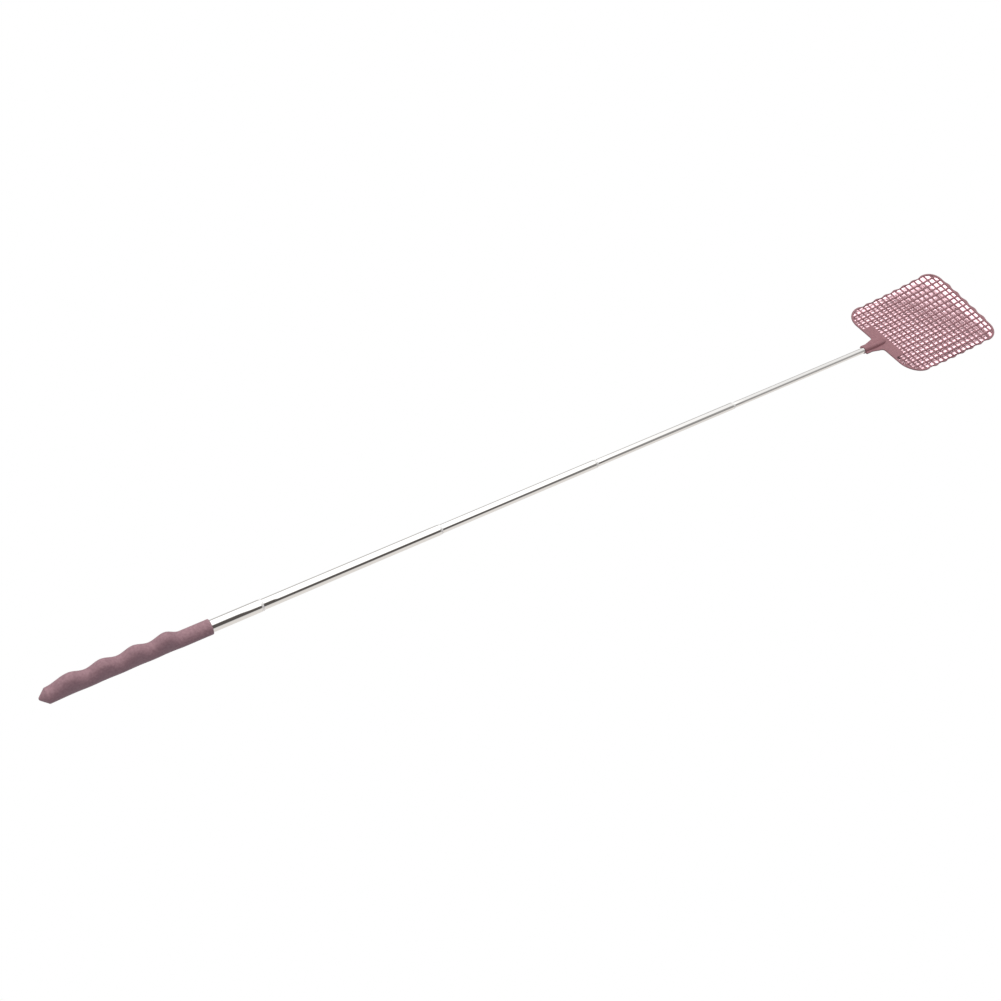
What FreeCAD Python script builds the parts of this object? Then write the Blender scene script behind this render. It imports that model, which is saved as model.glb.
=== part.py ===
import FreeCAD, Part
import math
import os

# A telescopic fly swatter, drawn fully extended, in millimetres.
# +X runs along the tubes from the grip's butt to the head, +Z is the side of the finger crests.
# The origin is the tip of the butt, on the tubes' common axis.

X_AXIS = FreeCAD.Vector(1, 0, 0)
ORIGIN = FreeCAD.Vector(0, 0, 0)

# --- grip ---
GRIP_LENGTH = 97.4
GRIP_RADIUS = 4.7
BUTT_CONE_LENGTH = 4.4
BUTT_BASE_RADIUS = 4.65
BUTT_TIP_RADIUS = 1.4
CREST_COUNT = 4
FIRST_CREST_X = 17.8
CREST_PITCH = 17.9
CREST_LIFT = 5.2
TROUGH_LIFT = 1.6
PLAIN_BAND_X = 80.4
SECTION_POINTS = 24
SECTION_STEP = 2.6
FRONT_EDGE_ROUND = 0.45

# --- tubes, from the one fixed in the grip (1) to the one that carries the head (5) ---
TUBE_COUNT = 5
FIRST_TUBE_RADIUS = 3.75
TUBE_RADIUS_STEP = 0.4
TUBE_WALL = 0.25
NECK_LENGTH = 0.9
NECK_TAPER = 0.9
NECK_CLEARANCE = 0.03
FIRST_TUBE_REAR_X = 7.0
FIRST_MOUTH_X = 129.0
SECTION_EXPOSED = 120.0
LAST_EXPOSED = 129.0
STOP_GAP = 0.2
SOCKET_DEPTH = 14.0

# --- base plug, closing the rear of tube 1 ---
PLUG_FLANGE = 0.5
PLUG_SPIGOT = 2.0

# --- brass bush on the rear of each sliding tube, with two friction leaves in its groove ---
BUSH_SPIGOT = 2.0
BUSH_COLLAR = 6.0
BUSH_WALL = 0.35
RUNNING_CLEARANCE = 0.02
GROOVE_LENGTH = 4.0
LEAF_END_CLEARANCE = 0.1
LEAF_THICKNESS = 0.18
LEAF_ARC = 168.0

# --- head ---
CELL = 4.88
HOLE_COLUMNS = 19
HOLE_ROWS = 15
CROSS_WEB = 1.5
LONG_RIB = 1.4
PLATE_THICKNESS = 1.1
CROSS_WEB_THICKNESS = 0.65
CENTRE_FROM_MOUTH = 12.815 * CELL
REAR_EDGE = -9.605 * CELL
FRONT_EDGE = 9.485 * CELL
HALF_WIDTH = 7.82 * CELL
WAVE_LENGTH = 1.95 * CELL
WAVE_DEPTH = 1.0
SIDE_WAVES = 7
FIRST_SIDE_CREST = -6.45 * CELL
FRONT_CUSP = 4.875 * CELL
RIM_WEB = 1.7
PAD_COLUMNS = 2
PAD_HALF_ROWS = 3
SMALLEST_HOLE_AREA = 1.2
NECK_MOUTH_HALF_WIDTH = 2.7
NECK_ROOT_HALF_WIDTH = 6.6
NECK_FILLET = 2.2
BEND_RADIUS = 554.0
BEND_START = 14.6
BOSS_RADIUS = 2.65
BOSS_STRAIGHT = 16.5
BOSS_NOSE = 7.0


def vec(x, y, z):
    return FreeCAD.Vector(x, y, z)


def revolved(profile):
    """Solid of revolution about +X from (x, radius) corner points."""
    corners = [vec(x, r, 0) for x, r in profile]
    wire = Part.makePolygon(corners + corners[:1])
    return Part.Face(wire).revolve(ORIGIN, X_AXIS, 360)


def cylinder(x0, x1, radius):
    return Part.makeCylinder(radius, x1 - x0, vec(x0, 0, 0), X_AXIS)


def outer_radius(k):
    return FIRST_TUBE_RADIUS - TUBE_RADIUS_STEP * (k - 1)


def inner_radius(k):
    return outer_radius(k) - TUBE_WALL


def mouth_x(k):
    """Front end of tube k; for the last tube, the mouth of the head's socket."""
    if k < TUBE_COUNT:
        return FIRST_MOUTH_X + SECTION_EXPOSED * (k - 1)
    return mouth_x(TUBE_COUNT - 1) + LAST_EXPOSED


def rear_x(k):
    if k == 1:
        return FIRST_TUBE_REAR_X
    return mouth_x(k - 1) - NECK_LENGTH - NECK_TAPER - STOP_GAP


# ---------------------------------------------------------------- grip

def lift_knots():
    """(x, height of the finger side above the round base) at each crest and trough."""
    knots = [(BUTT_CONE_LENGTH, 0.0)]
    for i in range(CREST_COUNT):
        crest = FIRST_CREST_X + CREST_PITCH * i
        knots.append((crest, CREST_LIFT))
        if i < CREST_COUNT - 1:
            knots.append((crest + CREST_PITCH / 2, TROUGH_LIFT))
    knots.append((PLAIN_BAND_X, 0.0))
    knots.append((GRIP_LENGTH, 0.0))
    return knots


def lift_at(x):
    knots = lift_knots()
    for (x0, h0), (x1, h1) in zip(knots, knots[1:]):
        if x <= x1:
            t = (x - x0) / (x1 - x0)
            return h0 + (h1 - h0) * (1 - math.cos(math.pi * t)) / 2
    return knots[-1][1]


def grip_section(x):
    """Closed outline at x: a circle whose upper half is pushed up by the lift."""
    lift = lift_at(x)
    points = []
    for i in range(SECTION_POINTS):
        angle = 2 * math.pi * i / SECTION_POINTS
        s = math.sin(angle)
        share = (1 + 1.5 * s - 0.5 * s ** 3) / 2
        points.append(vec(x, GRIP_RADIUS * math.cos(angle), GRIP_RADIUS * s + lift * share))
    curve = Part.BSplineCurve()
    curve.interpolate(Points=points, PeriodicFlag=True)
    return Part.Wire([curve.toShape()])


def butt_cone():
    """Blunt cone with a ball tip, tangent to the cone's side."""
    reach = BUTT_CONE_LENGTH - BUTT_TIP_RADIUS
    distance = math.hypot(reach, BUTT_BASE_RADIUS)
    slope = math.atan2(BUTT_BASE_RADIUS, reach) - math.asin(BUTT_TIP_RADIUS / distance)
    tip = vec(0, 0, 0)
    middle_angle = (math.pi / 2 - slope) / 2
    middle = vec(BUTT_TIP_RADIUS * (1 - math.cos(middle_angle)), BUTT_TIP_RADIUS * math.sin(middle_angle), 0)
    end = vec(BUTT_TIP_RADIUS * (1 - math.sin(slope)), BUTT_TIP_RADIUS * math.cos(slope), 0)
    base = vec(BUTT_CONE_LENGTH, BUTT_BASE_RADIUS, 0)
    foot = vec(BUTT_CONE_LENGTH, 0, 0)
    edges = [
        Part.Arc(tip, middle, end).toShape(),
        Part.makeLine(end, base),
        Part.makeLine(base, foot),
        Part.makeLine(foot, tip),
    ]
    return Part.Face(Part.Wire(edges)).revolve(ORIGIN, X_AXIS, 360)


def grip():
    steps = round((GRIP_LENGTH - BUTT_CONE_LENGTH) / SECTION_STEP)
    stations = [
        BUTT_CONE_LENGTH + (GRIP_LENGTH - BUTT_CONE_LENGTH) * i / steps for i in range(steps + 1)
    ]
    body = Part.makeLoft([grip_section(x) for x in stations], True, False)
    end_edges = [e for e in body.Edges if e.BoundBox.XLength < 0.01]
    front_edges = [e for e in end_edges if e.BoundBox.XMin > GRIP_LENGTH / 2]
    body = body.makeFillet(FRONT_EDGE_ROUND, front_edges)
    body = body.fuse(butt_cone())
    bore = cylinder(FIRST_TUBE_REAR_X - PLUG_FLANGE, GRIP_LENGTH + 1, outer_radius(1))
    return body.cut(bore)


# ---------------------------------------------------------------- tubes

def necked_tube(k):
    """Thin tube whose mouth is drawn in to guide the next tube."""
    x0, x1 = rear_x(k), mouth_x(k)
    outer, inner = outer_radius(k), inner_radius(k)
    drawn_in = inner - (outer_radius(k + 1) + NECK_CLEARANCE)
    taper = x1 - NECK_LENGTH - NECK_TAPER
    return revolved([
        (x0, inner),
        (x0, outer),
        (taper, outer),
        (x1 - NECK_LENGTH, outer - drawn_in),
        (x1, outer - drawn_in),
        (x1, inner - drawn_in),
        (x1 - NECK_LENGTH, inner - drawn_in),
        (taper, inner),
    ])


def plain_tube(k):
    x0, x1 = rear_x(k), mouth_x(k) + SOCKET_DEPTH
    return revolved([
        (x0, inner_radius(k)),
        (x0, outer_radius(k)),
        (x1, outer_radius(k)),
        (x1, inner_radius(k)),
    ])


def base_plug():
    """Disc that closes tube 1 and stops the collapsed tubes."""
    x = FIRST_TUBE_REAR_X
    flange = cylinder(x - PLUG_FLANGE, x, outer_radius(1))
    return flange.fuse(cylinder(x, x + PLUG_SPIGOT, inner_radius(1)))


# ---------------------------------------------------------------- sliding joints

def groove_radius(k):
    return inner_radius(k - 1) - RUNNING_CLEARANCE - LEAF_THICKNESS - RUNNING_CLEARANCE


def bush(k):
    """Brass ring plugged into the rear of tube k, with a grooved collar in tube k - 1."""
    tube_end = rear_x(k)
    collar = inner_radius(k - 1) - RUNNING_CLEARANCE
    bore = inner_radius(k) - BUSH_WALL
    rim = (BUSH_COLLAR - GROOVE_LENGTH) / 2
    return revolved([
        (tube_end - BUSH_COLLAR, bore),
        (tube_end - BUSH_COLLAR, collar),
        (tube_end - BUSH_COLLAR + rim, collar),
        (tube_end - BUSH_COLLAR + rim, groove_radius(k)),
        (tube_end - rim, groove_radius(k)),
        (tube_end - rim, collar),
        (tube_end, collar),
        (tube_end, inner_radius(k)),
        (tube_end + BUSH_SPIGOT, inner_radius(k)),
        (tube_end + BUSH_SPIGOT, bore),
    ])


def friction_leaf(k, upper):
    """One of the two bronze half rings that press on the bore of tube k - 1."""
    rim = (BUSH_COLLAR - GROOVE_LENGTH) / 2
    x0 = rear_x(k) - BUSH_COLLAR + rim + LEAF_END_CLEARANCE
    length = GROOVE_LENGTH - 2 * LEAF_END_CLEARANCE
    inside = groove_radius(k) + RUNNING_CLEARANCE
    outside = inner_radius(k - 1) - RUNNING_CLEARANCE
    corners = [vec(x0, inside, 0), vec(x0 + length, inside, 0), vec(x0 + length, outside, 0), vec(x0, outside, 0)]
    face = Part.Face(Part.makePolygon(corners + corners[:1]))
    start = (180 - LEAF_ARC) / 2 + (0 if upper else 180)
    face.rotate(ORIGIN, X_AXIS, start)
    return face.revolve(ORIGIN, X_AXIS, LEAF_ARC)


# ---------------------------------------------------------------- head
# Drawn flat in (u, v): u along the handle's axis from the centre of the mesh, v across it.

def quarter_circle(centre, radius, start_deg):
    """Start, middle and end of a quarter circle, anticlockwise from start_deg."""
    found = []
    for angle in (start_deg, start_deg + 45, start_deg + 90):
        a = math.radians(angle)
        found.append((centre[0] + radius * math.cos(a), centre[1] + radius * math.sin(a)))
    return found


def wave_arc(crest, along, across, start, end):
    """Part of one wave as three points. Start and end run from -1, the first cusp, to 1, the last."""
    half = WAVE_LENGTH / 2
    radius = (half ** 2 + WAVE_DEPTH ** 2) / (2 * WAVE_DEPTH)
    found = []
    for share in (start, (start + end) / 2, end):
        s = share * half
        drop = radius - math.sqrt(radius ** 2 - s ** 2)
        found.append((
            crest[0] + along[0] * s - across[0] * drop,
            crest[1] + along[1] * s - across[1] * drop,
        ))
    return found


def side_waves(sign):
    """The waves of one long edge, between the crests that its two corners end on."""
    along, across = (-sign, 0), (0, sign)
    crests = [FIRST_SIDE_CREST + WAVE_LENGTH * i for i in range(SIDE_WAVES + 1)]
    if sign > 0:
        crests.reverse()
    points = [(u, sign * HALF_WIDTH) for u in crests]
    arcs = [wave_arc(points[0], along, across, 0, 1)]
    arcs += [wave_arc(p, along, across, -1, 1) for p in points[1:-1]]
    arcs.append(wave_arc(points[-1], along, across, -1, 0))
    return arcs


def front_waves():
    count = round(2 * FRONT_CUSP / WAVE_LENGTH)
    crests = [-FRONT_CUSP + WAVE_LENGTH * (i + 0.5) for i in range(count)]
    return [wave_arc((FRONT_EDGE + WAVE_DEPTH, v), (0, 1), (1, 0), -1, 1) for v in crests]


def rim_arcs(inset, waves):
    """Outline of the mesh, anticlockwise from the rear edge's lower corner, moved inward by inset."""
    last_crest = FIRST_SIDE_CREST + WAVE_LENGTH * SIDE_WAVES
    rear_radius, front_radius = FIRST_SIDE_CREST - REAR_EDGE, FRONT_EDGE - last_crest
    rear_v, front_v = HALF_WIDTH - rear_radius, HALF_WIDTH - front_radius
    arcs = [quarter_circle((FIRST_SIDE_CREST, -rear_v), rear_radius - inset, 180)]
    arcs += side_waves(-1) if waves else []
    arcs.append(quarter_circle((last_crest, -front_v), front_radius - inset, 270))
    arcs += front_waves() if waves else []
    arcs.append(quarter_circle((last_crest, front_v), front_radius - inset, 0))
    arcs += side_waves(1) if waves else []
    arcs.append(quarter_circle((FIRST_SIDE_CREST, rear_v), rear_radius - inset, 90))
    return arcs


def wire_from_arcs(arcs):
    """Closed wire through the arcs in order, with straight edges over the gaps."""
    edges = []
    for i, (a, b, c) in enumerate(arcs):
        if i and math.dist(arcs[i - 1][2], a) > 1e-6:
            edges.append(Part.makeLine(vec(*arcs[i - 1][2], 0), vec(*a, 0)))
        edges.append(Part.Arc(vec(*a, 0), vec(*b, 0), vec(*c, 0)).toShape())
    edges.append(Part.makeLine(vec(*arcs[-1][2], 0), vec(*arcs[0][0], 0)))
    return Part.Wire(edges)


def prism(face, low=-10.0, high=30.0):
    """The face drawn in (u, v), moved to the head's place and extruded through the bent plate."""
    solid = face.extrude(vec(0, 0, high - low))
    solid.translate(vec(mouth_x(TUBE_COUNT) + CENTRE_FROM_MOUTH, 0, low))
    return solid


def head_outline():
    """The scalloped rim, with the neck that narrows to the socket's mouth."""
    rim = Part.Face(wire_from_arcs(rim_arcs(0.0, waves=True)))
    mouth = -CENTRE_FROM_MOUTH
    neck_points = [
        vec(mouth, -NECK_MOUTH_HALF_WIDTH, 0),
        vec(REAR_EDGE + 0.01, -NECK_ROOT_HALF_WIDTH, 0),
        vec(REAR_EDGE + 2, -NECK_ROOT_HALF_WIDTH, 0),
        vec(REAR_EDGE + 2, NECK_ROOT_HALF_WIDTH, 0),
        vec(REAR_EDGE + 0.01, NECK_ROOT_HALF_WIDTH, 0),
        vec(mouth, NECK_MOUTH_HALF_WIDTH, 0),
    ]
    neck = Part.Face(Part.makePolygon(neck_points + neck_points[:1]))
    return rim, neck


def hole_squares():
    """Square openings, by (column, row), leaving out the solid pad."""
    columns = range(-(HOLE_COLUMNS // 2), HOLE_COLUMNS // 2 + 1)
    rows = range(-(HOLE_ROWS // 2), HOLE_ROWS // 2 + 1)
    half_u, half_v = (CELL - CROSS_WEB) / 2, (CELL - LONG_RIB) / 2
    squares = []
    for i in columns:
        for j in rows:
            in_pad = i < columns[0] + PAD_COLUMNS and abs(j) <= PAD_HALF_ROWS
            if in_pad:
                continue
            corner = vec(i * CELL - half_u, j * CELL - half_v, 0)
            squares.append(Part.makePlane(2 * half_u, 2 * half_v, corner))
    return squares


def bent_band(top, bottom):
    """The plate between two heights, level at the neck and curling up along an arc to the front."""
    x0 = mouth_x(TUBE_COUNT)
    start = x0 + BEND_START
    end_angle = 0.2
    wide = HALF_WIDTH + 5

    def on_arc(height, angle):
        r = BEND_RADIUS - height
        return vec(start + r * math.sin(angle), -wide, BEND_RADIUS - r * math.cos(angle))

    edges = [
        Part.makeLine(vec(x0, -wide, bottom), vec(start, -wide, bottom)),
        Part.Arc(on_arc(bottom, 0), on_arc(bottom, end_angle / 2), on_arc(bottom, end_angle)).toShape(),
        Part.makeLine(on_arc(bottom, end_angle), on_arc(top, end_angle)),
        Part.Arc(on_arc(top, end_angle), on_arc(top, end_angle / 2), on_arc(top, 0)).toShape(),
        Part.makeLine(vec(start, -wide, top), vec(x0, -wide, top)),
        Part.makeLine(vec(x0, -wide, top), vec(x0, -wide, bottom)),
    ]
    return Part.Face(Part.Wire(edges)).extrude(vec(0, 2 * wide, 0))


def rounded_neck(rim, neck):
    """Rim and neck as one slab, with a fillet where the neck meets the rear edge."""
    slab = prism(rim).fuse(prism(neck)).removeSplitter()
    root = mouth_x(TUBE_COUNT) + CENTRE_FROM_MOUTH + REAR_EDGE
    seams = []
    for edge in slab.Edges:
        box = edge.BoundBox
        upright = box.ZLength > 1 and box.XLength < 0.01 and box.YLength < 0.01
        if upright and abs(box.XMin - root) < 0.1 and abs(box.YMin) < NECK_ROOT_HALF_WIDTH + 0.1:
            seams.append(edge)
    return slab.makeFillet(NECK_FILLET, seams)


def boss():
    """Round sleeve over the end of tube 5, with a bullet nose that sinks into the plate."""
    x0 = mouth_x(TUBE_COUNT)
    x1 = x0 + BOSS_STRAIGHT
    nose = Part.BSplineCurve()
    nose.interpolate(Points=[
        vec(x1, BOSS_RADIUS, 0),
        vec(x1 + 0.4 * BOSS_NOSE, 0.84 * BOSS_RADIUS, 0),
        vec(x1 + 0.75 * BOSS_NOSE, 0.5 * BOSS_RADIUS, 0),
        vec(x1 + BOSS_NOSE, 0, 0),
    ])
    edges = [
        Part.makeLine(vec(x0, 0, 0), vec(x0, BOSS_RADIUS, 0)),
        Part.makeLine(vec(x0, BOSS_RADIUS, 0), vec(x1, BOSS_RADIUS, 0)),
        nose.toShape(),
        Part.makeLine(vec(x1 + BOSS_NOSE, 0, 0), vec(x0, 0, 0)),
    ]
    return Part.Face(Part.Wire(edges)).revolve(ORIGIN, X_AXIS, 360)


def rib_grooves(inner):
    """One shallow channel per row of holes, which leaves the cross webs lower than the ribs."""
    half_v = (CELL - LONG_RIB) / 2
    half_u = (HOLE_COLUMNS * CELL - CROSS_WEB) / 2
    top = PLATE_THICKNESS / 2
    floor = bent_band(top + 1, top - (PLATE_THICKNESS - CROSS_WEB_THICKNESS))
    strips = []
    for j in range(-(HOLE_ROWS // 2), HOLE_ROWS // 2 + 1):
        rear = -half_u
        if abs(j) <= PAD_HALF_ROWS:
            rear += PAD_COLUMNS * CELL
        strips.append(Part.makePlane(half_u - rear, 2 * half_v, vec(rear, j * CELL - half_v, 0)).common(inner))
    channels = Part.makeCompound([prism(f) for strip in strips for f in strip.Faces])
    return floor.common(channels)


def head():
    rim, neck = head_outline()
    inner = Part.Face(wire_from_arcs(rim_arcs(RIM_WEB, waves=False)))
    holes = []
    for square in hole_squares():
        for face in square.common(inner).Faces:
            if face.Area > SMALLEST_HOLE_AREA:
                holes.append(prism(face))
    plate = bent_band(PLATE_THICKNESS / 2, -PLATE_THICKNESS / 2).common(rounded_neck(rim, neck))
    plate = plate.cut(rib_grooves(inner))
    plate = plate.cut(Part.makeCompound(holes))
    socket_end = mouth_x(TUBE_COUNT) + SOCKET_DEPTH
    return plate.fuse(boss()).cut(cylinder(mouth_x(TUBE_COUNT) - 1, socket_end, outer_radius(TUBE_COUNT)))


# ---------------------------------------------------------------- parts

def all_parts():
    parts = {"grip": grip(), "base_plug": base_plug(), "head": head()}
    for k in range(1, TUBE_COUNT):
        parts[f"tube_{k}"] = necked_tube(k)
    parts[f"tube_{TUBE_COUNT}"] = plain_tube(TUBE_COUNT)
    for k in range(2, TUBE_COUNT + 1):
        parts[f"bush_{k}"] = bush(k)
        parts[f"leaf_{k}_upper"] = friction_leaf(k, upper=True)
        parts[f"leaf_{k}_lower"] = friction_leaf(k, upper=False)
    return parts


os.makedirs("parts", exist_ok=True)
for name, shape in all_parts().items():
    shape.exportStep(f"parts/{name}.step")
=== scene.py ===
"""Looks of a telescopic fly swatter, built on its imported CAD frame. Metres, +X towards the head, +Z up."""
import math

import bpy
from mathutils import Matrix, Vector


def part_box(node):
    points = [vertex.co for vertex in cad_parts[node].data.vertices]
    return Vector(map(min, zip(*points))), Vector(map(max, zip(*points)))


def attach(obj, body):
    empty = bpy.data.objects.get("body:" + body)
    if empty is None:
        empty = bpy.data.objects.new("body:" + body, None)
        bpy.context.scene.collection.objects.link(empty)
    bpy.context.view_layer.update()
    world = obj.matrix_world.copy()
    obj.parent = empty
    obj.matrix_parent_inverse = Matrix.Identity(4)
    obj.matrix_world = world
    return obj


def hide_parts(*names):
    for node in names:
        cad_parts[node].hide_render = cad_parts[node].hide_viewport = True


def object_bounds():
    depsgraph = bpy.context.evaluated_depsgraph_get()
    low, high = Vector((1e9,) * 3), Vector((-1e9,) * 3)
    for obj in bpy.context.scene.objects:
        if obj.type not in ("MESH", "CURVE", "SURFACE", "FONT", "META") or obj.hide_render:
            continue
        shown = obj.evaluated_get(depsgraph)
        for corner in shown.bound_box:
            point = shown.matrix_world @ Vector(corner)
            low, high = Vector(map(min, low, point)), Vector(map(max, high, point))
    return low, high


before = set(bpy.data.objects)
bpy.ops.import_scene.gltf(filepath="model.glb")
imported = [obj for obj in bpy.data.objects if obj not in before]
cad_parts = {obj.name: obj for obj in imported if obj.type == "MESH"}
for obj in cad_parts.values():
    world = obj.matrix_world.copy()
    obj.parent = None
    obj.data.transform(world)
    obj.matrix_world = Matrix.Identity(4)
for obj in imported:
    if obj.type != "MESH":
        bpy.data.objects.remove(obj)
cad_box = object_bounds()
MM = 0.001
LAST_TUBE = 5

# Where the CAD puts things, in millimetres.
GRIP_FRONT_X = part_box("grip")[1].x / MM
SOCKET_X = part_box("head")[0].x / MM


# ---------------------------------------------------------------- mesh helpers

def mesh_object(name, vertices, faces, smooth_angle=40.0):
    """New object from points in millimetres, shaded smooth except over sharp edges."""
    mesh = bpy.data.meshes.new(name)
    mesh.from_pydata([(x * MM, y * MM, z * MM) for x, y, z in vertices], [], faces)
    mesh.validate()
    mesh.update()
    obj = bpy.data.objects.new(name, mesh)
    bpy.context.scene.collection.objects.link(obj)
    mesh.shade_smooth()
    mesh.set_sharp_from_angle(angle=math.radians(smooth_angle))
    return obj


class Builder:
    """Gathers rings of points into one mesh."""

    def __init__(self):
        self.vertices = []
        self.faces = []

    def tube_of_rings(self, rings, close_ends=True):
        """Quads between successive closed rings of equal size, with a flat face on each end."""
        base = len(self.vertices)
        size = len(rings[0])
        for ring in rings:
            self.vertices.extend(ring)
        for i in range(len(rings) - 1):
            for j in range(size):
                a = base + i * size + j
                b = base + i * size + (j + 1) % size
                self.faces.append((a, b, b + size, a + size))
        if close_ends:
            self.faces.append(tuple(base + j for j in reversed(range(size))))
            last = base + (len(rings) - 1) * size
            self.faces.append(tuple(last + j for j in range(size)))

    def add(self, vertices, faces):
        base = len(self.vertices)
        self.vertices.extend(vertices)
        self.faces.extend(tuple(base + i for i in face) for face in faces)


def ease(t):
    """Smooth step from 0 to 1 while t goes from 0 to 1."""
    t = min(1.0, max(0.0, t))
    return (1 - math.cos(math.pi * t)) / 2


def circle_ring(x, radius, count):
    """Ring round the tubes' axis, ordered so that rings along +X give outward faces."""
    return [
        (x, radius * math.cos(2 * math.pi * j / count), radius * math.sin(2 * math.pi * j / count))
        for j in range(count)
    ]


def rounded_profile(corners, arc_points=5):
    """(x, r) points along a polyline whose corners are (x, r, fillet radius)."""
    points = []
    for i, (x, r, fillet) in enumerate(corners):
        here = Vector((x, r))
        if fillet <= 0 or i in (0, len(corners) - 1):
            points.append((x, r))
            continue
        before = (Vector(corners[i - 1][:2]) - here).normalized()
        after = (Vector(corners[i + 1][:2]) - here).normalized()
        for k in range(arc_points + 1):
            t = k / arc_points
            a = here + before * fillet * (1 - t) ** 2
            points.append(tuple(a + after * fillet * t ** 2))
    return points


# ---------------------------------------------------------------- grip

GRIP_RADIUS = 4.7
BUTT_CONE_LENGTH = 4.4
BUTT_BASE_RADIUS = 4.65
BUTT_TIP_RADIUS = 1.4
FIRST_CREST_X = 17.8
CREST_PITCH = 17.9
CREST_COUNT = 4
CREST_LIFT = 5.2
TROUGH_LIFT = 1.6
PLAIN_BAND_X = 80.4
BORE_RADIUS = 3.76
BORE_END_X = BUTT_CONE_LENGTH + 1.0
BORE_EDGE = 0.06
BORE_EDGE_DEPTH = 0.1
FRONT_ROUNDING = 0.45
CONE_END_X = BUTT_CONE_LENGTH - 0.15
CONE_END_RADIUS = BUTT_BASE_RADIUS - 0.1
STEP_UP = ((0.08, 0.45), (0.25, 0.8), (0.5, 1.0))  # (how far past the cone, share of the step)
BODY_START_X = BUTT_CONE_LENGTH + 0.9
BODY_END_X = GRIP_FRONT_X - 0.6
GRIP_POINTS = 128
TIP_STEPS = 8
FIRST_TIP_STEP = 0.05
CONE_STEPS = 6
BODY_STEPS = 230
FRONT_STEPS = 6


def grip_lift(x):
    """How far the finger side stands above the round base at x."""
    knots = [(BUTT_CONE_LENGTH, 0.0)]
    for i in range(CREST_COUNT):
        crest = FIRST_CREST_X + CREST_PITCH * i
        knots.append((crest, CREST_LIFT))
        if i < CREST_COUNT - 1:
            knots.append((crest + CREST_PITCH / 2, TROUGH_LIFT))
    knots += [(PLAIN_BAND_X, 0.0), (GRIP_FRONT_X, 0.0)]
    for (x0, h0), (x1, h1) in zip(knots, knots[1:]):
        if x <= x1:
            return h0 + (h1 - h0) * ease((x - x0) / (x1 - x0))
    return 0.0


def grip_ring(x, radius, lift):
    """Ring round the grip at x, with its finger side raised by lift."""
    ring = []
    for j in range(GRIP_POINTS):
        angle = 2 * math.pi * j / GRIP_POINTS
        s = math.sin(angle)
        share = (1 + 1.5 * s - 0.5 * s ** 3) / 2
        ring.append((x, radius * math.cos(angle), radius * s + lift * share))
    return ring


def butt_rings():
    """Rounded tip, the cone that leaves it at a tangent, and the small step up to the body."""
    reach = BUTT_CONE_LENGTH - BUTT_TIP_RADIUS
    to_base = math.hypot(reach, BUTT_BASE_RADIUS)
    slope = math.atan2(BUTT_BASE_RADIUS, reach) - math.asin(BUTT_TIP_RADIUS / to_base)
    rings = []
    for i in range(TIP_STEPS + 1):
        a = (math.pi / 2 - slope) * max(i, FIRST_TIP_STEP) / TIP_STEPS
        x = BUTT_TIP_RADIUS * (1 - math.cos(a))
        rings.append(grip_ring(x, BUTT_TIP_RADIUS * math.sin(a), 0))
    x_tangent = BUTT_TIP_RADIUS * (1 - math.sin(slope))
    r_tangent = BUTT_TIP_RADIUS * math.cos(slope)
    for i in range(1, CONE_STEPS + 1):
        t = i / CONE_STEPS
        x = x_tangent + (CONE_END_X - x_tangent) * t
        rings.append(grip_ring(x, r_tangent + (CONE_END_RADIUS - r_tangent) * t, 0))
    rings.append(grip_ring(BUTT_CONE_LENGTH, BUTT_BASE_RADIUS, 0))
    for past, share in STEP_UP:
        x = BUTT_CONE_LENGTH + past
        radius = BUTT_BASE_RADIUS + (GRIP_RADIUS - BUTT_BASE_RADIUS) * share
        rings.append(grip_ring(x, radius, grip_lift(x)))
    return rings


def body_rings():
    """The finger crests and the plain band in front of them."""
    rings = []
    for i in range(BODY_STEPS + 1):
        x = BODY_START_X + (BODY_END_X - BODY_START_X) * i / BODY_STEPS
        rings.append(grip_ring(x, GRIP_RADIUS, grip_lift(x)))
    return rings


def front_rings():
    """Rounded front edge, front face, and back inside along the bore that holds tube 1."""
    rings = []
    for i in range(1, FRONT_STEPS + 1):
        a = math.pi / 2 * i / FRONT_STEPS
        x = GRIP_FRONT_X - FRONT_ROUNDING * (1 - math.sin(a))
        rings.append(grip_ring(x, GRIP_RADIUS - FRONT_ROUNDING * (1 - math.cos(a)), 0))
    rings.append(grip_ring(GRIP_FRONT_X, BORE_RADIUS + BORE_EDGE, 0))
    rings.append(grip_ring(GRIP_FRONT_X - BORE_EDGE_DEPTH, BORE_RADIUS, 0))
    rings.append(grip_ring(BORE_END_X, BORE_RADIUS, 0))
    return rings


def make_grip():
    builder = Builder()
    builder.tube_of_rings(butt_rings() + body_rings() + front_rings())
    return mesh_object("grip_soft", builder.vertices, builder.faces, 60)


# ---------------------------------------------------------------- tubes

FIRST_TUBE_RADIUS = 3.75
TUBE_RADIUS_STEP = 0.4
TUBE_WALL = 0.25
NECK_LENGTH = 0.9
NECK_TAPER = 0.9
NECK_CLEARANCE = 0.03
TUBE_EDGE = 0.08
SHOULDER_FILLET = 0.6
LIP_FILLET = 0.3
MOUTH_OUTER_EDGE = 0.14
MOUTH_INNER_EDGE = 0.06
TUBE_POINTS = 96
TUBE_RING_GAP = 12


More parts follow.
